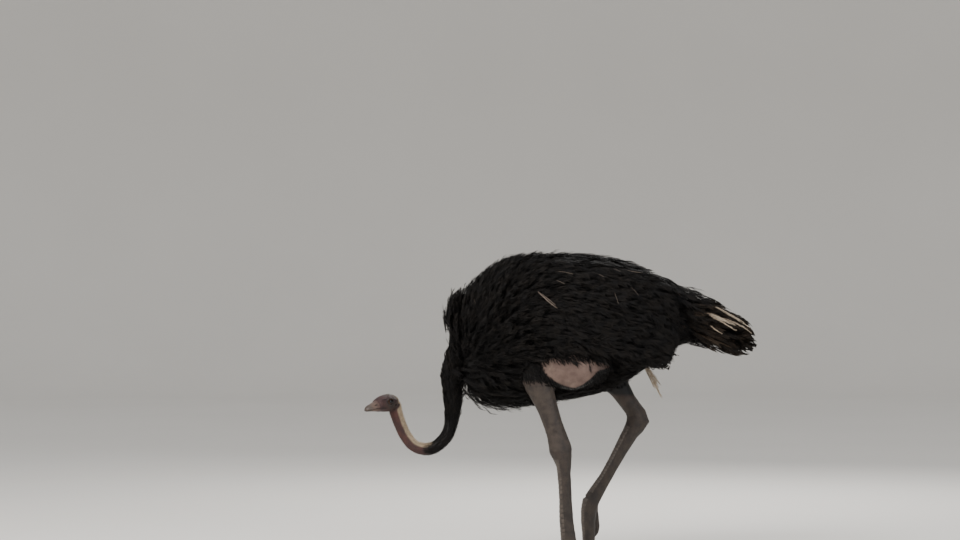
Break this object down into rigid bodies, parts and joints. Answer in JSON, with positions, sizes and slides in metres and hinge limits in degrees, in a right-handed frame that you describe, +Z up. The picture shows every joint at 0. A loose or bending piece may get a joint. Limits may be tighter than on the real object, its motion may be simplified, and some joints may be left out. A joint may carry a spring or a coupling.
{
  "type": "ostrich",
  "caption": "Life-size still model of a cock ostrich walking with its neck let down in a deep U, its head raised in front and one foot trailing.",
  "frame": {"origin": "on the floor, under the middle of the bird's bounding box", "axes": "+Z up; the bird faces -X and its left side is towards -Y"},
  "size_m": [1.7121, 0.5384, 1.3572],
  "materials": {
    "plumage_black": "soft, slightly shaggy black plumes",
    "plumage_tail": "dark drooping plumes with buff streaks",
    "plumage_white": "loose off-white plume",
    "neck_skin": "reddish-brown skin under thin pale down",
    "leg_skin": "dark grey-brown skin with fine scales",
    "thigh_skin": "pale bare flank skin",
    "horn": "smooth dull horn",
    "eye": "wet dark brown eye"
  },
  "bodies": {
    "root": {"trunk": "plumage_black", "tail": "plumage_tail", "wing_left": "plumage_black", "wing_right": "plumage_black", "wing_plume_right": "plumage_white", "neck_base": "plumage_black", "neck_lower": "neck_skin", "neck_bend_back": "neck_skin", "neck_bend_front": "neck_skin", "neck_upper": "neck_skin", "head": "neck_skin", "bill_upper": "horn", "bill_lower": "horn", "eye_left": "eye", "eye_right": "eye", "thigh_left": "thigh_skin", "thigh_right": "thigh_skin", "drumstick_left": "leg_skin", "drumstick_right": "leg_skin", "shank_left": "leg_skin", "shank_right": "leg_skin", "toe_big_left": "leg_skin", "toe_big_right": "leg_skin", "toe_outer_left": "leg_skin", "toe_outer_right": "leg_skin", "claw_left": "horn", "claw_right": "horn"}
  },
  "joints": []
}
